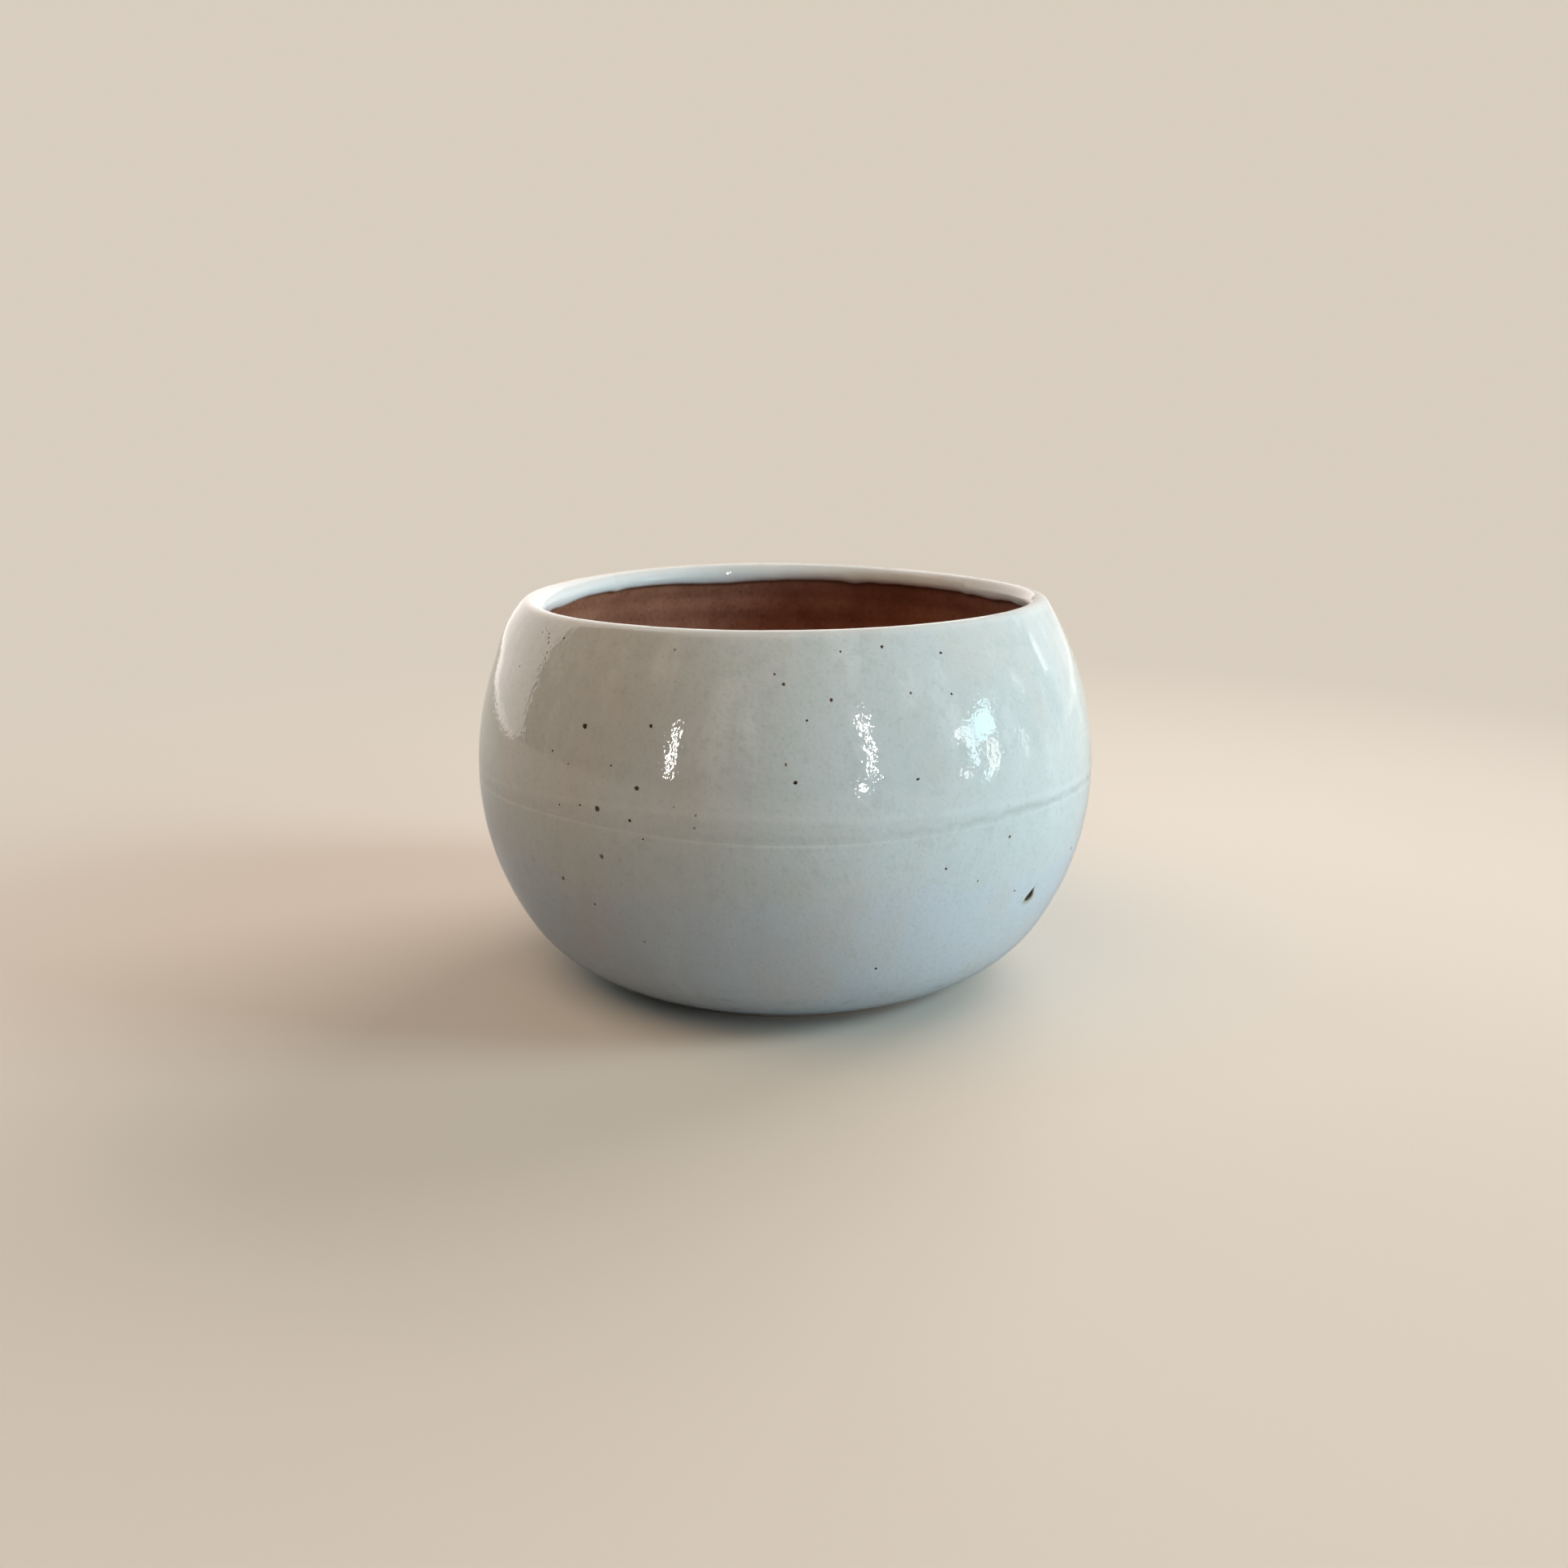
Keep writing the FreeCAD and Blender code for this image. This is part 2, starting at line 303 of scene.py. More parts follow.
# Where the glaze ran down inside the lip: (angle in degrees, half width in radians, length in mm).
INNER_RUNS = (
    (198, 0.22, 0.7), (161, 0.05, 0.35), (255, 0.10, 0.6), (116, 0.12, 0.4), (230, 0.03, 0.3),
    (126, 0.025, 0.3), (25, 0.06, 0.6), (310, 0.05, 0.5), (340, 0.2, 0.4), (60, 0.1, 0.3),
)
SEAM_WAVES = ((-0.4, 4, -16), (0.1, 1, 60))
FOOT_DRIP_ANGLE = math.radians(-23)
FOOT_DRIP_WIDTH = 0.018


def seam_height(angle):
    """Lower edge of the upper dip: close to level, a little lower in front."""
    waves = ripple(angle, SEAM_WAVES) + 0.1 * noise_line(angle, 12, 3)
    return SEAM_HEIGHT + (0.55 + waves) * MM


def seam_distance(angle):
    """The seam's distance along the outline."""
    return OUTLINE.distance_at_height(seam_height(angle), OUTLINE.start["heel"], OUTLINE.crest)


def overlap_width(angle):
    """Height of the band where the two dips lie over each other: wide in front, thin at the right."""
    front = hump(angle_between(angle, math.radians(-8)) / 0.65)
    return (0.6 + 2.1 * front + 0.2 * noise_line(angle, 12, 5)) * MM


def inner_edge_distance(angle):
    """Where the glaze stops inside the lip: a slightly wavy line with a few runs."""
    wave = 0.10 * noise_line(angle, 22, 6) + 0.12 * noise_line(angle, 60, 7)
    wave = wave + 0.05 * noise_line(angle, 140, 8)
    runs = sum(hump(angle_between(angle, math.radians(at)) / width) * drop for at, width, drop in INNER_RUNS)
    height = INNER_GLAZE_HEIGHT - (wave + runs) * MM
    return OUTLINE.distance_at_height(height, OUTLINE.crest, OUTLINE.start["inner_lower"])


def foot_edge_distance(angle):
    """Where the lower dip was wiped off above the foot, with one small drip."""
    wave = 0.25 * noise_line(angle, 14, 9) + 0.12 * noise_line(angle, 60, 10)
    drip = 0.7 * hump(angle_between(angle, FOOT_DRIP_ANGLE) / FOOT_DRIP_WIDTH)
    return OUTLINE.start["heel"] + (1.2 + wave - drip) * MM


# ---------------------------------------------------------------- the pieces

EDGE_STEPS = np.array([0, 0.03, 0.09, 0.18, 0.3, 0.45, 0.65, 0.9, 1.2, 1.55]) * MM
BACK_ROWS = 14
# From here on the clay's outside is well under the glaze.
GLAZED_FROM = OUTLINE.start["heel"] + 3 * MM
# The back of the glaze lies this deep in the clay, and the clay is this much thinner where glaze hides it.
EMBEDDED = -0.06 * MM
HIDDEN = -0.03 * MM
# The upper dip starts a little under the line that shows, and thins out there.
UNDER_SEAM = 1.0 * MM
TUCK = 0.4 * MM
ROUNDED_RIM = 0.6 * MM
FULL_LIP_ANGLE = math.radians(-92)
FULL_LIP_WIDTH = 0.55
# A small comma-shaped chip: its place, half length, half width, taper, lean, curve per metre and depth.
CHIP_ANGLE = math.radians(49.9)
CHIP_HEIGHT = 21.6 * MM
CHIP_LENGTH = 1.2 * MM
CHIP_WIDTH = 1.0 * MM
CHIP_TAPER = 0.65
CHIP_LEAN = 0.35
CHIP_CURVE = 110
CHIP_DEPTH = 0.35 * MM


def surface_points(angle, distance, offset):
    """Points of the leaning wall: at a distance along the outline, and out from the clay by an offset."""
    radius, height = OUTLINE.at(distance)
    out, up = OUTLINE.normal(distance)
    outwards, upwards = body_lean(angle, height)
    return place(radius + outwards + offset * out, height + upwards + offset * up, angle)


def coat_rows(low_edge, high_edge, shares):
    """Distances of the rows of a coat's face, closer together at both edges."""
    reach = EDGE_STEPS[-1]
    between = low_edge + reach + (high_edge - low_edge - 2 * reach) * shares[1:-1, None]
    return np.vstack([low_edge + EDGE_STEPS[:, None], between, high_edge - EDGE_STEPS[::-1, None]])


def glaze_swell(angle, distance):
    """Slow and quick swells in the thickness of the glaze, and the finger rings under it."""
    radius, height = OUTLINE.at(distance)
    points = place(radius, height, angle)
    swell = 0.020 * noise_field(points, 80, 11) + 0.004 * noise_field(points, 330, 12)
    runs = 0.008 * noise_field(points * np.array([1, 1, 0.3]), 240, 13)
    return (swell + runs + 0.009 * throwing_rings(angle, height, 6.2 * MM)) * MM


def chip_distance():
    """The chip's distance along the outline."""
    return OUTLINE.distance_at_height(CHIP_HEIGHT, OUTLINE.start["heel"], OUTLINE.crest)


def chip_parts(angle, distance):
    """How far inside the chip each point is, and how near it; both from 0 to 1."""
    across = angle_between(angle, CHIP_ANGLE) * BELLY_RADIUS
    along = distance - chip_distance()
    bent = across - CHIP_LEAN * along - CHIP_CURVE * along ** 2
    width = (1 - CHIP_TAPER * np.clip(along / CHIP_LENGTH, -1, 1)) * CHIP_WIDTH
    away = np.sqrt((bent / width) ** 2 + (along / CHIP_LENGTH) ** 2)
    return smooth_step((1 - away) / 0.25), smooth_step((1.6 - away) / 0.8)


def lip_fullness(angle, distance):
    """Extra clay on both flanks of the lip, at its fuller left side; from 0 to 1."""
    outside = hump((distance - OUTLINE.crest + 5 * MM) / (5 * MM))
    inside = 0.9 * hump((distance - OUTLINE.crest - 2.4 * MM) / (1.5 * MM))
    return np.maximum(outside, inside) * hump(angle_between(angle, FULL_LIP_ANGLE) / FULL_LIP_WIDTH)


def upper_offset(angle, distance, from_low, from_high):
    """Face of the upper dip: thin at the seam, a soft swell over the lower dip, a rolled edge inside."""
    band = 1 - smooth_step((from_low - UNDER_SEAM - overlap_width(angle)) / (1.6 * MM))
    step = (-0.003 + 0.017 * smooth_step(from_low / (3 * UNDER_SEAM))) * band
    roll = 0.5 * hump((from_high - 1.0 * MM) / (0.9 * MM))
    rim = round_edge(from_high / ROUNDED_RIM)
    full = 0.75 * lip_fullness(angle, distance)
    whole = GLAZE * (1 + roll) + (step + full) * MM + glaze_swell(angle, distance)
    return whole * rim + EMBEDDED * (1 - rim)


def lower_offset(angle, distance, from_low, from_high):
    """Face of the lower dip: a rolled edge above the foot, and a top that tucks under the upper dip."""
    tuck = -TUCK * smooth_step(1 - (from_high - 0.9 * MM) / (1.2 * MM))
    roll = 0.25 * hump((from_low - 0.7 * MM) / (0.7 * MM))
    rim = round_edge(from_low / ROUNDED_RIM)
    chip, _ = chip_parts(angle, distance)
    whole = GLAZE * (1 + roll) + tuck + glaze_swell(angle, distance)
    return (whole - CHIP_DEPTH * chip) * rim + EMBEDDED * (1 - rim)


def build_coat(name, replaced, angle, low_edge, high_edge, shares, face_offset):
    """A closed skin of glaze between two edges that wander round the bowl."""
    face = coat_rows(low_edge, high_edge, shares)
    outer = surface_points(angle, face, face_offset(angle, face, face - low_edge, high_edge - face))
    back = low_edge + (high_edge - low_edge) * np.linspace(1, 0, BACK_ROWS)[:, None]
    inner = surface_points(angle, back, EMBEDDED + 0 * back)
    piece = grid_object(name, np.concatenate([outer, inner]), True, MILKY_GLAZE)
    bare_edge = np.minimum(face - foot_edge_distance(angle), inner_edge_distance(angle) - face)
    chip, stain = chip_parts(angle, face)
    add_values(piece, "above_seam", (face - seam_distance(angle)) / MM)
    add_values(piece, "band", (overlap_width(angle) + 0 * face) / MM)
    add_values(piece, "from_bare_edge", bare_edge / MM)
    # Where the lip's whiter glaze and its painted light go: the crest, the inner band and a little below.
    add_values(piece, "lip", hump(np.minimum(face - OUTLINE.crest, 0) / (1.1 * MM)))
    add_values(piece, "chip", chip)
    add_values(piece, "stain", stain)
    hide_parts(replaced)
    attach(piece, "root")


def build_upper_coat():
    """The second dip: from the seam over the lip to its wavy edge inside."""
    angle = even_angles(720)
    low_edge = seam_distance(angle) - UNDER_SEAM
    high_edge = inner_edge_distance(angle)
    shares = np.linspace(0, 1, 82)
    build_coat("upper_glaze", "glaze_upper_coat", angle, low_edge, high_edge, shares, upper_offset)


def build_lower_coat():
    """The first dip: from above the foot to under the second, with a finer mesh around the chip."""
    angle = refine(even_angles(700), CHIP_ANGLE, 1.6 * MM / BELLY_RADIUS, 0.12 * MM / BELLY_RADIUS)
    low_edge, high_edge = foot_edge_distance(angle), seam_distance(angle) + 1.6 * MM
    chip_share = (chip_distance() - low_edge.mean()) / (high_edge - low_edge).mean()
    shares = refine(np.linspace(0, 1, 72), chip_share, 0.06, 0.004)
    build_coat("lower_glaze", "glaze_lower_coat", angle, low_edge, high_edge, shares, lower_offset)


def clay_rows():
    """Distances along the outline: close where the clay shows, wide where glaze hides it."""
    start = OUTLINE.start
    pole_gap = 0.8 * MM
    below_edge = start["inside"] + 6 * MM
    # From, to and the step between rows in mm.
    spans = [
        (pole_gap, start["recess_side"], 1.0), (start["recess_side"], start["heel"], 0.35),
        (start["heel"], GLAZED_FROM, 0.3), (GLAZED_FROM, OUTLINE.crest, 2.0),
        (OUTLINE.crest, below_edge, 0.3), (below_edge, OUTLINE.length - pole_gap, 0.8),
    ]
    rows = [
        np.linspace(low, high, max(2, int((high - low) / (step * MM))), endpoint=False)
        for low, high, step in spans
    ]
    return np.concatenate(rows + [[OUTLINE.length - pole_gap]])


def clay_offset(angle, distance, radius, height):
    """Finger rings inside, turning marks under the foot, and a little less clay where glaze covers it."""
    points = place(radius, height, angle)
    inside = smooth_step((distance - OUTLINE.start["inside"]) / (5 * MM)) * smooth_step(radius / (6 * MM))
    rings = throwing_rings(angle, distance, 5.2 * MM) * (0.75 + 0.5 * noise_field(points, 60, 21))
    thrown = (0.15 * rings + 0.10 * noise_field(points, 140, 22)) * inside
    turned = (distance < GLAZED_FROM) & (height > 0.05 * MM)
    marks = (0.05 * throwing_rings(angle, distance, 1.3 * MM) + 0.05 * noise_field(points, 300, 23)) * turned
    hidden = (distance > GLAZED_FROM) & (distance < OUTLINE.crest)
    return (thrown + marks) * MM + HIDDEN * hidden


def build_clay():
    """The thrown body, with its bare inside, its floor and its turned foot."""
    angle = even_angles(420)
    distance = clay_rows()[:, None] + 0 * angle
    radius, height = OUTLINE.at(distance)
    shape = surface_points(angle, distance, clay_offset(angle, distance, radius, height))
    resting = (distance >= OUTLINE.start["rest"] - 0.2 * MM) & (height < 0.05 * MM)
    shape[..., 2] = np.where(resting, 0, np.maximum(shape[..., 2], 0))
    piece = grid_object("clay_bowl", shape, False, BARE_CLAY)
    below_inner = np.abs(distance - inner_edge_distance(angle))
    above_foot = np.abs(distance - foot_edge_distance(angle))
    add_values(piece, "from_glaze", np.minimum(below_inner, above_foot) / MM)
    add_values(piece, "on_foot", 1.0 * (distance < GLAZED_FROM))
    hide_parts("clay_body")
    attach(piece, "root")


# ---------------------------------------------------------------- materials

# Iron specks at the front: (angle in degrees, height in mm, radius in mm, strength).
IRON_SPECKS = (
    (-35.8, 50.6, 0.50, 1.0), (-22.7, 51.8, 0.34, 1.0), (-24.4, 42.8, 0.44, 1.0), (-31.8, 39.0, 0.48, 1.0),
    (-25.5, 38.0, 0.30, 1.0), (-35.4, 39.1, 0.22, 0.9), (-40.0, 38.4, 0.20, 0.9), (-23.2, 35.4, 0.22, 0.9),
    (-31.3, 31.7, 0.42, 0.6), (-41.0, 26.5, 0.38, 0.6), (-34.5, 23.3, 0.20, 0.8), (-25.6, 18.2, 0.20, 0.8),
    (7.6, 55.8, 0.28, 0.7), (-0.3, 57.9, 0.28, 0.7), (-1.9, 59.2, 0.22, 0.7), (3.5, 53.2, 0.22, 0.9),
    (1.5, 44.8, 0.32, 0.9), (0.0, 47.3, 0.26, 0.6), (21.5, 44.4, 0.26, 0.9), (9.9, 62.0, 0.22, 0.8),
    (17.8, 62.3, 0.28, 0.8), (29.5, 60.9, 0.28, 0.8), (29.8, 55.5, 0.22, 0.8), (21.8, 56.2, 0.22, 0.7),
    (16.8, 14.2, 0.26, 0.9), (40.0, 33.4, 0.28, 0.7), (64.8, 26.0, 0.36, 0.8), (-47.2, 62.0, 0.28, 0.7),
    (-20.5, 62.0, 0.22, 0.5), (-14.2, 39.7, 0.24, 0.5), (-14.4, 37.9, 0.24, 0.5), (26.8, 30.4, 0.20, 0.8),
    (33.8, 27.3, 0.22, 0.6), (44.0, 23.7, 0.20, 0.8), (61.5, 13.5, 0.30, 0.5), (-42.5, 46.2, 0.22, 0.8),
    (-38.4, 44.9, 0.22, 0.6), (-29.4, 45.6, 0.20, 0.8), (-76.0, 61.8, 0.50, 0.8), (-72.0, 63.0, 0.35, 0.8),
    (-55.0, 63.0, 0.20, 0.7), (-55.1, 62.1, 0.26, 0.8), (-56.2, 62.3, 0.16, 0.6), (-52.1, 61.6, 0.26, 0.8),
    (-51.4, 60.9, 0.30, 0.9), (-52.6, 62.2, 0.24, 0.9), (-53.8, 62.5, 0.20, 0.8), (-50.6, 59.6, 0.22, 0.8),
    (-51.3, 57.6, 0.18, 0.7), (-49.8, 58.0, 0.20, 0.8), (-51.6, 59.2, 0.15, 0.6), (-50.2, 60.4, 0.16, 0.6),
    (-50.4, 58.7, 0.22, 0.7), (-58.9, 56.6, 0.24, 0.8), (-58.6, 58.3, 0.18, 0.6),
)
# Fine cracks in the glaze, each a chain of (angle in degrees, height in mm).
CRACKS = (
    ((-55.0, 62.9), (-52.5, 61.9), (-51.2, 60.5), (-50.8, 58.5), (-50.9, 56.8)),
    ((-51.0, 55.2), (-51.8, 52.3), (-52.4, 50.4), (-53.0, 49.0), (-54.6, 46.0)),
    ((-57.5, 62.9), (-61.2, 62.0), (-62.9, 58.8)),
    ((47.3, 22.0), (46.6, 20.6)),
    ((-76.4, 49.1), (-76.6, 47.8)),
    ((-74.7, 44.9), (-74.1, 41.4)),
)


# Scattered specks: (cells per metre, share of cells left empty, radius in mm, strength).
FINE_SPECKS = ((70.0, 0.80, 0.30, 0.8), (190.0, 0.86, 0.15, 0.6), (420.0, 0.88, 0.09, 0.45))
# Linear colours of the glaze, the marks in it, the clay and the floor.
# The third glaze tone, the bluer one, is a painted reflection of cool light on the lower glaze.
GLAZE_GREY, GLAZE_PALE, LOW_SKY_REFLECTION_BLUE = (0.545, 0.56, 0.54), (0.575, 0.60, 0.595), (0.55, 0.585, 0.625)
RUN_TONE, PINK_TONE, MOTTLE_TONE = (0.70, 0.715, 0.70), (0.60, 0.535, 0.48), (0.46, 0.49, 0.46)
# The lip tone is partly the whiter rolled glaze of the rim and partly painted light on its crest and inner
# band.
GRAIN_TONE, ASH_TONE, LIP_WHITE_AND_PAINTED_LIGHT = (0.34, 0.36, 0.33), (0.25, 0.28, 0.24), (0.72, 0.735, 0.73)
BAND_TONE, SEAM_TONE, BAND_TOP_TONE = (0.40, 0.38, 0.34), (0.30, 0.31, 0.28), (0.78, 0.79, 0.76)
BARE_EDGE_TONE, CRACK_TONE = (0.22, 0.13, 0.08), (0.09, 0.06, 0.045)
IRON_RUST, IRON_BLACK = (0.20, 0.11, 0.06), (0.035, 0.014, 0.006)
STAIN_TONE, CHIP_TONE = (0.27, 0.21, 0.09), (0.022, 0.012, 0.006)
CLAY_DARK, CLAY_PALE, CLAY_STREAK = (0.28, 0.118, 0.070), (0.41, 0.19, 0.12), (0.33, 0.16, 0.105)
CLAY_PIT, SAND_PALE, SAND_DARK = (0.10, 0.032, 0.013), (0.48, 0.30, 0.22), (0.035, 0.015, 0.01)
FOOT_TONE, FLASH_TONE = (0.34, 0.21, 0.15), (0.075, 0.024, 0.008)
FLOOR_TONES, FLOOR_BOUNCE = ((0.64, 0.575, 0.505), (0.67, 0.605, 0.535)), (0.38, 0.37, 0.36)
GLAZE_GLOSS, CHIP_ROUGHNESS = (0.05, 0.05, 0.05), (0.7, 0.7, 0.7)


class Nodes:
    """A short way to write a material's node tree."""

    def __init__(self, name):
        self.material = bpy.data.materials.new(name)
        self.material.use_nodes = True
        self.tree = self.material.node_tree
        self.tree.nodes.clear()
        self.where = self.add("ShaderNodeTexCoord").outputs["Object"]

    def add(self, kind, inputs=None, **settings):
        """A node with values or links for its inputs."""
        node = self.tree.nodes.new(kind)
        for name, value in settings.items():
            setattr(node, name, value)
        for name, value in (inputs or {}).items():
            if isinstance(value, bpy.types.NodeSocket):
                self.tree.links.new(value, node.inputs[name])
            else:
                node.inputs[name].default_value = value
        return node

    def noise(self, scale, detail=3.0, roughness=0.5, stretch=(1, 1, 1)):
        """Noise over the object, about 0.3 to 0.7; stretch scales each direction further."""
        where = self.add("ShaderNodeMapping", {"Vector": self.where, "Scale": stretch}).outputs["Vector"]
        inputs = {"Vector": where, "Scale": scale, "Detail": detail, "Roughness": roughness}
        return self.add("ShaderNodeTexNoise", inputs).outputs["Fac"]

    def cells(self, scale, where=None):
        """Voronoi cells: distance to the nearest centre, and a number from 0 to 1 for each cell."""
        place_at = self.where if where is None else where
        voronoi = self.add("ShaderNodeTexVoronoi", {"Vector": place_at, "Scale": scale})
        number = self.add("ShaderNodeSeparateColor", {"Color": voronoi.outputs["Color"]}).outputs[0]
        return voronoi.outputs["Distance"], number

    def math(self, operation, first, second=0.0):
        """One step of arithmetic."""
        return self.add("ShaderNodeMath", {0: first, 1: second}, operation=operation).outputs[0]

    def vector(self, operation, first, second):
        """One step of arithmetic with vectors."""
        node = self.add("ShaderNodeVectorMath", {0: first, 1: second}, operation=operation)
        return node.outputs["Value" if operation in ("DISTANCE", "DOT_PRODUCT") else "Vector"]

    def ramp(self, value, low, high, start=0.0, end=1.0):
        """A smooth change from start to end as value goes from low to high."""
        inputs = {"Value": value, "From Min": low, "From Max": high, "To Min": start, "To Max": end}
        return self.add("ShaderNodeMapRange", inputs, interpolation_type="SMOOTHSTEP").outputs["Result"]

    def mix(self, share, first, second):
        """A colour from the first to the second, by a share that is a socket."""
        node = self.add("ShaderNodeMix", data_type="RGBA")
        self.tree.links.new(share, node.inputs["Factor"])
        for socket, colour in ((node.inputs[6], first), (node.inputs[7], second)):
            if isinstance(colour, bpy.types.NodeSocket):
                self.tree.links.new(colour, socket)
            else:
                socket.default_value = (*colour, 1)
        return node.outputs[2]

    def largest(self, values):
        """The greatest of several values."""
        highest = values[0]
        for value in values[1:]:
            highest = self.math("MAXIMUM", highest, value)
        return highest

    def times(self, first, second):
        """Product of two values."""
        return self.math("MULTIPLY", first, second)

    def part(self, axis):
        """One coordinate of the object position."""
        return self.add("ShaderNodeSeparateXYZ", {"Vector": self.where}).outputs[axis]

    def attribute(self, name):
        """A value that a piece carries at its vertices."""
        return self.add("ShaderNodeAttribute", attribute_name=name).outputs["Fac"]

    def line_at(self, value, centre, half_width):
        """1 where a value equals centre, falling to 0 at half_width to either side."""
        away = self.math("ABSOLUTE", self.math("SUBTRACT", value, centre))
        return self.ramp(away, 0.0, half_width, 1.0, 0.0)

    def distance_to_segment(self, where, start, end):
        """How far a position is from a straight piece of line."""
        span = Vector(end) - Vector(start)
        from_start = self.vector("SUBTRACT", where, start)
        share = self.vector("DOT_PRODUCT", from_start, span / span.length_squared)
        share = self.add("ShaderNodeClamp", {"Value": share}).outputs[0]
        nearest = self.add("ShaderNodeVectorMath", {0: tuple(span), "Scale": share}, operation="SCALE")
        return self.vector("DISTANCE", from_start, nearest.outputs["Vector"])

    def bump(self, height, distance, after=None):
        """Surface relief of the given depth, in metres, on top of another."""
        inputs = {"Height": height, "Strength": 1.0, "Distance": distance}
        if after is not None:
            inputs["Normal"] = after
        return self.add("ShaderNodeBump", inputs).outputs["Normal"]

    def finish(self, inputs):
        """Close the tree with one shader."""
        self.shader = self.add("ShaderNodeBsdfPrincipled", inputs).outputs["BSDF"]
        self.output = self.add("ShaderNodeOutputMaterial", {"Surface": self.shader})
        return self.material

    def fade_into(self, colour, share):
        """Change to a plain glow of a colour with the distance from the middle, at most by a share."""
        flat = self.vector("MULTIPLY", self.where, (1, 1, 0))
        far = self.ramp(self.vector("DISTANCE", flat, (0, 0, 0)), 0.08, 0.34)
        glow = self.add("ShaderNodeEmission", {"Color": (*colour, 1)}).outputs["Emission"]
        mixed = self.add("ShaderNodeMixShader", {0: self.times(far, share), 1: self.shader, 2: glow})
        self.tree.links.new(mixed.outputs["Shader"], self.output.inputs["Surface"])
        return self.material


def on_glaze(degrees, height_mm):
    """A point of the glazed outside."""
    distance = OUTLINE.distance_at_height(height_mm * MM, OUTLINE.start["heel"], OUTLINE.crest)
    return tuple(surface_points(np.radians([degrees]), np.array([distance]), GLAZE)[0])


def shaken_place(nodes, scale, reach):
    """The object position, shaken so that round marks and straight lines come out ragged."""
    inputs = {"Vector": nodes.where, "Scale": scale, "Detail": 2.0}
    shake = nodes.add("ShaderNodeTexNoise", inputs).outputs["Color"]
    shake = nodes.vector("SUBTRACT", shake, (0.5, 0.5, 0.5))
    shake = nodes.vector("MULTIPLY", shake, (reach, reach, reach))
    return nodes.vector("ADD", nodes.where, shake)


def speck_mask(nodes):
    """Iron specks: the chosen ones at the front and a scatter of finer ones all round."""
    where = shaken_place(nodes, 1600.0, 0.5 * MM)
    spots = []
    for degrees, height, radius, strength in IRON_SPECKS:
        away = nodes.vector("DISTANCE", where, on_glaze(degrees, height))
        soft = 1.6 - 0.6 * strength
        spots.append(nodes.ramp(away, 0.5 * radius * MM, soft * 1.15 * radius * MM, strength, 0.0))
    for scale, empty, radius, strength in FINE_SPECKS:
        away, number = nodes.cells(scale, where)
        reach = radius * MM * scale
        spot = nodes.ramp(away, 0.4 * reach, 1.2 * reach, strength, 0.0)
        spots.append(nodes.times(spot, nodes.math("GREATER_THAN", number, empty)))
    return nodes.largest(spots)


def crack_mask(nodes):
    """Fine cracks, broken here and there."""
    where = shaken_place(nodes, 900.0, 0.5 * MM)
    lines = []
    for chain in CRACKS:
        corners = [on_glaze(degrees, height) for degrees, height in chain]
        for start, end in zip(corners, corners[1:]):
            away = nodes.distance_to_segment(where, start, end)
            lines.append(nodes.ramp(away, 0.03 * MM, 0.14 * MM, 1.0, 0.0))
    breaks = nodes.ramp(nodes.noise(700.0, 2.0), 0.42, 0.56, 0.15, 0.9)
    return nodes.times(nodes.largest(lines), breaks)


def glaze_tone(nodes):
    """Milky glaze: pale blue-grey over warmer grey, in clouds, in runs and as a fine mottle."""
    height = nodes.part("Z")
    clouds = nodes.ramp(nodes.noise(30.0, 4.0, 0.55), 0.35, 0.65)
    tone = nodes.mix(clouds, GLAZE_GREY, GLAZE_PALE)
    # Below about 26 mm the glaze turns bluer: a painted reflection of cool light from below.
    wave = nodes.ramp(nodes.noise(90.0, 3.0), 0.3, 0.7, -1.5 * MM, 1.5 * MM)
    wavy_height = nodes.math("ADD", height, wave)
    tone = nodes.mix(nodes.ramp(wavy_height, 24.5 * MM, 28.5 * MM, 0.75, 0.0), tone, LOW_SKY_REFLECTION_BLUE)
    runs = nodes.noise(170.0, 4.0, 0.55, (1, 1, 0.18))
    upper = nodes.ramp(height, 38 * MM, 52 * MM, 0.25, 0.75)
    pale_runs = nodes.times(nodes.ramp(runs, 0.5, 0.72), upper)
    tone = nodes.mix(nodes.times(pale_runs, 0.75), tone, RUN_TONE)
    pink = nodes.ramp(nodes.noise(75.0, 3.0, 0.5, (1, 1, 0.5)), 0.48, 0.70, 0.0, 0.42)
    tone = nodes.mix(pink, tone, PINK_TONE)
    mottle = nodes.noise(480.0, 4.0, 0.6)
    mottled = nodes.ramp(height, 22 * MM, 32 * MM, 0.2, 0.42)
    tone = nodes.mix(nodes.times(nodes.ramp(mottle, 0.46, 0.72), mottled), tone, MOTTLE_TONE)
    grain = nodes.noise(1700.0, 2.0)
    tone = nodes.mix(nodes.ramp(grain, 0.52, 0.8, 0.0, 0.30), tone, GRAIN_TONE)
    near_foot = nodes.ramp(height, 6 * MM, 16 * MM, 0.34, 0.0)
    ash = nodes.ramp(nodes.noise(420.0, 5.0, 0.65, (1, 1, 1.5)), 0.50, 0.74)
    return nodes.mix(nodes.times(ash, near_foot), tone, ASH_TONE)


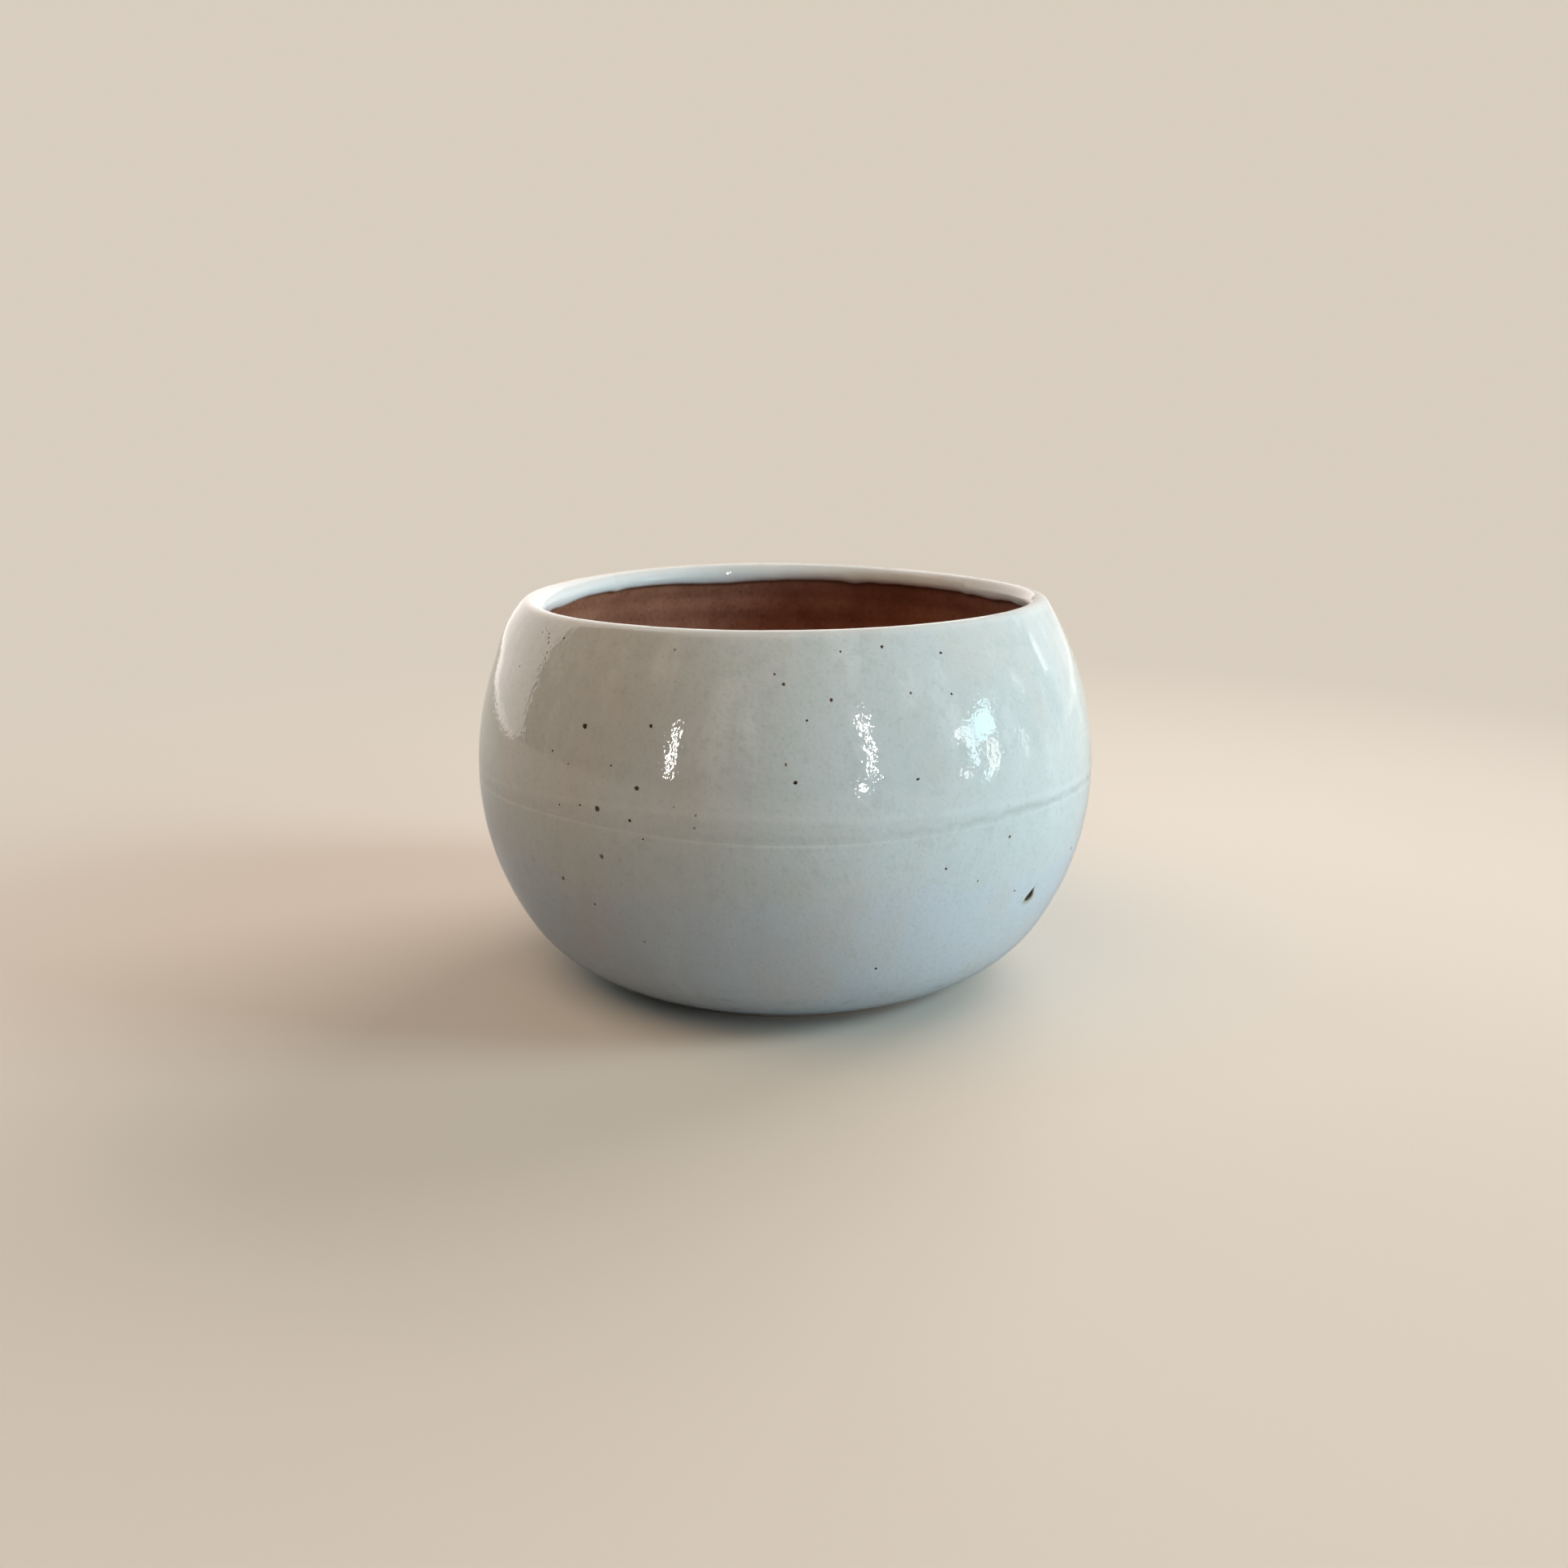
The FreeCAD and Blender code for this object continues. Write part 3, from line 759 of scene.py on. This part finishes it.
def add_seam(nodes, tone):
    """The band where the dips overlap: a soft line under it and a pale one over it, fainter at the left."""
    above_seam = nodes.attribute("above_seam")
    band = nodes.attribute("band")
    thin_band = nodes.ramp(band, 0.8, 2.5, 1.0, 0.4)
    faint_left = nodes.ramp(nodes.part("X"), -38 * MM, 4 * MM, 0.1, 1.0)
    patchy = nodes.ramp(nodes.noise(170.0, 3.0), 0.35, 0.6, 0.45, 1.0)
    shown = nodes.times(nodes.times(thin_band, faint_left), patchy)
    wave = nodes.ramp(nodes.noise(330.0, 3.0), 0.3, 0.7, -0.3, 0.3)
    wavering = nodes.math("ADD", above_seam, wave)
    seam_line = nodes.times(nodes.line_at(wavering, 0.25, 0.95), shown)
    band_top = nodes.math("SUBTRACT", above_seam, band)
    in_band = nodes.times(nodes.ramp(wavering, -0.4, 0.5), nodes.ramp(band_top, -0.8, 0.6, 1.0, 0.0))
    tone = nodes.mix(nodes.times(nodes.times(in_band, shown), 0.14), tone, BAND_TONE)
    tone = nodes.mix(nodes.times(seam_line, 0.30), tone, SEAM_TONE)
    return nodes.mix(nodes.times(nodes.line_at(band_top, 0.8, 0.9), 0.10), tone, BAND_TOP_TONE)


def make_milky_glaze():
    """Glossy glaze with a soft seam line, thin brown edges, specks, cracks and a chip."""
    nodes = Nodes("milky_glaze")
    tone = add_seam(nodes, glaze_tone(nodes))
    # Paler lip: the whiter rolled glaze of the rim, with painted light on its crest and inner band.
    tone = nodes.mix(nodes.times(nodes.attribute("lip"), 0.6), tone, LIP_WHITE_AND_PAINTED_LIGHT)
    edge = nodes.ramp(nodes.attribute("from_bare_edge"), 0.05, 0.5, 1.0, 0.0)
    tone = nodes.mix(nodes.times(edge, 0.75), tone, BARE_EDGE_TONE)
    specks = speck_mask(nodes)
    iron = nodes.mix(nodes.ramp(specks, 0.4, 0.8), IRON_RUST, IRON_BLACK)
    tone = nodes.mix(nodes.ramp(specks, 0.0, 0.75), tone, iron)
    tone = nodes.mix(nodes.times(crack_mask(nodes), 0.85), tone, CRACK_TONE)
    tone = nodes.mix(nodes.times(nodes.attribute("stain"), 0.8), tone, STAIN_TONE)
    chip = nodes.attribute("chip")
    tone = nodes.mix(nodes.ramp(chip, 0.1, 0.6), tone, CHIP_TONE)
    normal = nodes.bump(nodes.noise(330.0, 2.0), 0.025 * MM)
    normal = nodes.bump(nodes.noise(1300.0, 1.0, 0.5), 0.026 * MM, normal)
    normal = nodes.bump(specks, -0.06 * MM, normal)
    rough = nodes.mix(chip, GLAZE_GLOSS, CHIP_ROUGHNESS)
    rough = nodes.add("ShaderNodeSeparateColor", {"Color": rough}).outputs[0]
    return nodes.finish({"Base Color": tone, "Roughness": rough, "IOR": 1.52, "Normal": normal})


def make_bare_clay():
    """Matt reddish brown stoneware with sand and iron in it, darker where it meets the glaze."""
    nodes = Nodes("bare_clay")
    clouds = nodes.noise(90.0, 4.0, 0.6)
    grit = nodes.noise(1300.0, 4.0, 0.7)
    sand, number = nodes.cells(900.0)
    grains = nodes.ramp(sand, 0.12, 0.3, 1.0, 0.0)
    pale_grains = nodes.times(grains, nodes.math("GREATER_THAN", number, 0.88))
    dark_grains = nodes.times(grains, nodes.math("LESS_THAN", number, 0.12))
    tone = nodes.mix(nodes.ramp(clouds, 0.3, 0.7), CLAY_DARK, CLAY_PALE)
    streaks = nodes.noise(30.0, 4.0, 0.6, (1, 1, 14))
    tone = nodes.mix(nodes.ramp(streaks, 0.45, 0.75, 0.0, 0.45), tone, CLAY_STREAK)
    tone = nodes.mix(nodes.ramp(grit, 0.45, 0.8, 0.0, 0.5), tone, CLAY_PIT)
    tone = nodes.mix(nodes.times(pale_grains, 0.45), tone, SAND_PALE)
    tone = nodes.mix(nodes.times(dark_grains, 0.7), tone, SAND_DARK)
    tone = nodes.mix(nodes.times(nodes.attribute("on_foot"), 0.5), tone, FOOT_TONE)
    flash = nodes.ramp(nodes.attribute("from_glaze"), 0.1, 0.9, 0.9, 0.0)
    tone = nodes.mix(flash, tone, FLASH_TONE)
    normal = nodes.bump(clouds, 0.25 * MM)
    normal = nodes.bump(grit, 0.12 * MM, normal)
    normal = nodes.bump(grains, 0.05 * MM, normal)
    rough = nodes.ramp(grit, 0.3, 0.8, 0.62, 0.9)
    looks = {"Base Color": tone, "Roughness": rough, "Specular IOR Level": 0.2, "Normal": normal}
    return nodes.finish(looks)


def make_floor_paint():
    """A pale matt floor with a faint mottle, that fades into the backdrop further out."""
    nodes = Nodes("floor_paint")
    ray = nodes.add("ShaderNodeLightPath")
    by_camera = ray.outputs["Is Camera Ray"]
    seen = nodes.math("MAXIMUM", by_camera, ray.outputs["Is Glossy Ray"])
    paint = nodes.mix(nodes.noise(9.0), *FLOOR_TONES)
    tone = nodes.mix(by_camera, FLOOR_BOUNCE, paint)
    nodes.finish({"Base Color": tone, "Roughness": 0.8})
    return nodes.fade_into(BACKDROP, seen)


# ---------------------------------------------------------------- stage, light and camera

LOOK_CENTRE = Vector((0, 0, 0.04))
FLOOR_REACH, FLOOR_SIDES = 3.0, 96
CAMERA_PLACE = (-0.22 * MM, -269.1 * MM, 101.2 * MM)
CAMERA_DIP = 14.6  # degrees below level
SENSOR_WIDTH, LENS = 36, 36.06  # mm
FOCUS_DISTANCE, F_STOP = 0.232, 26
BACKDROP = (0.69, 0.615, 0.52)
ROOM_MIRRORED = (0.19, 0.17, 0.145)
ROOM_LIGHT = (0.012, 0.011, 0.010)
WHITE, DAYLIGHT, SKY = (1.0, 0.98, 0.95), (0.72, 0.93, 1.0), (0.68, 0.90, 1.0)
WARM, CREAM, CYAN = (1.0, 0.70, 0.45), (1.0, 0.92, 0.88), (0.58, 0.95, 1.0)
# Soft lights: name, azimuth from the front towards the right, elevation, distance, width and height,
# radiance, colour and tilt. Angles are in degrees. The first set shades the bowl, and the second set is
# only mirrored in its glaze.
SHADING_LIGHTS = (
    ("window", 80, 24, 0.95, 0.30, 0.30, 20.0, DAYLIGHT, 0),
    ("window_low", 60, 4, 0.9, 0.80, 0.35, 6.8, SKY, 0),
    ("window_behind", 140, 30, 0.9, 0.80, 0.50, 6.6, CREAM, 0),
    ("room_left", -120, 16, 0.8, 0.62, 0.50, 2.2, SKY, 0),
    ("room_high", -50, 58, 0.9, 1.10, 0.60, 2.0, WARM, 0),
)
MIRRORED_LIGHTS = (
    ("ceiling_left", -70, 74, 0.9, 1.00, 0.50, 0.9, CREAM, 0),
    ("wall_left", -150, 24, 0.8, 1.22, 1.16, 1.3, CREAM, 20),
    ("wall_behind", 148, 12, 0.8, 0.80, 0.40, 0.6, CREAM, 0),
    ("sky_pane", 75.5, 12.5, 0.8, 0.14, 0.12, 8.5, CYAN, 10),
    ("left_pane", 68.5, 9, 0.8, 0.045, 0.17, 9.0, DAYLIGHT, 12),
    ("small_pane", 64, 12, 0.8, 0.035, 0.05, 9.0, WHITE, 0),
    ("middle_pane", 77, 3.5, 0.8, 0.07, 0.10, 7.0, WHITE, -8),
    ("low_pane", 74.5, -1, 0.8, 0.04, 0.05, 8.0, DAYLIGHT, 0),
    ("low_left_pane", 65, 1, 0.8, 0.05, 0.03, 8.0, WHITE, 0),
    ("curtain_fold", 93, 3, 0.8, 0.045, 0.10, 2.6, WHITE, 10),
    ("curtain_edge", 98, 15.5, 0.8, 0.03, 0.11, 2.2, WHITE, 20),
    ("door_edge", 119, 13, 0.8, 0.05, 0.12, 2.2, WHITE, 0),
    ("strip_left", -40, 12.3, 0.9, 0.020, 0.29, 44.0, WHITE, -2),
    ("strip_right", 30, 15.3, 0.9, 0.013, 0.30, 52.0, WHITE, 5),
    ("small_lamp", 26.5, 2, 0.9, 0.045, 0.045, 28.0, WHITE, 0),
)


def direction(azimuth, elevation):
    """Unit vector; azimuth is from the front, -Y, towards +X, in degrees."""
    side, rise = math.radians(azimuth), math.radians(elevation)
    return Vector((math.sin(side) * math.cos(rise), -math.cos(side) * math.cos(rise), math.sin(rise)))


def add_light(mirrored, name, azimuth, elevation, distance, width, height, radiance, colour, tilt):
    """A rectangular soft light that faces the bowl."""
    light = bpy.data.lights.new(name, "AREA")
    light.shape = "RECTANGLE"
    light.size, light.size_y = width, height
    light.energy = radiance * math.pi * width * height
    light.color = colour
    lamp = bpy.data.objects.new(name, light)
    towards = direction(azimuth, elevation)
    lamp.location = LOOK_CENTRE + towards * distance
    lamp.rotation_euler = towards.to_track_quat("Z", "Y").to_euler()
    lamp.rotation_euler.rotate_axis("Z", math.radians(tilt))
    lamp.visible_glossy = mirrored
    lamp.visible_diffuse = not mirrored
    bpy.context.scene.collection.objects.link(lamp)


def add_world():
    """A warm grey room: pale to the camera, dimmer as mirrored in the glaze, faint as light on the bowl."""
    world = bpy.data.worlds.new("studio")
    world.use_nodes = True
    tree = world.node_tree
    ray = tree.nodes.new("ShaderNodeLightPath")
    faint = tree.nodes.new("ShaderNodeRGB")
    faint.outputs["Color"].default_value = (*ROOM_LIGHT, 1)
    colour = faint.outputs["Color"]
    for kind_of_ray, seen in (("Is Glossy Ray", ROOM_MIRRORED), ("Is Camera Ray", BACKDROP)):
        mix = tree.nodes.new("ShaderNodeMix")
        mix.data_type = "RGBA"
        mix.inputs[7].default_value = (*seen, 1)
        tree.links.new(ray.outputs[kind_of_ray], mix.inputs["Factor"])
        tree.links.new(colour, mix.inputs[6])
        colour = mix.outputs[2]
    tree.links.new(colour, tree.nodes["Background"].inputs["Color"])
    bpy.context.scene.world = world


def add_floor():
    """A round pale floor, level with the foot."""
    turn = [TURN * side / FLOOR_SIDES for side in range(FLOOR_SIDES)]
    rim = [(FLOOR_REACH * math.cos(angle), FLOOR_REACH * math.sin(angle), 0) for angle in turn]
    mesh = bpy.data.meshes.new("floor")
    mesh.from_pydata(rim, [], [tuple(range(FLOOR_SIDES))])
    mesh.materials.append(make_floor_paint())
    floor = bpy.data.objects.new("floor", mesh)
    bpy.context.scene.collection.objects.link(floor)


def add_camera():
    """A short wide-angle view from just above the lip, looking a little down."""
    camera = bpy.data.cameras.new("camera")
    camera.sensor_width = SENSOR_WIDTH
    camera.lens = LENS
    camera.clip_start = 0.01
    camera.dof.use_dof = True
    camera.dof.focus_distance = FOCUS_DISTANCE
    camera.dof.aperture_fstop = F_STOP
    viewer = bpy.data.objects.new("camera", camera)
    viewer.location = CAMERA_PLACE
    viewer.rotation_euler = (math.radians(90 - CAMERA_DIP), 0, 0)
    bpy.context.scene.collection.objects.link(viewer)
    bpy.context.scene.camera = viewer


MILKY_GLAZE = make_milky_glaze()
BARE_CLAY = make_bare_clay()
build_clay()
build_lower_coat()
build_upper_coat()
add_floor()
add_world()
for light_values in SHADING_LIGHTS:
    add_light(False, *light_values)
for light_values in MIRRORED_LIGHTS:
    add_light(True, *light_values)
add_camera()
bpy.context.scene.view_settings.view_transform = "Standard"
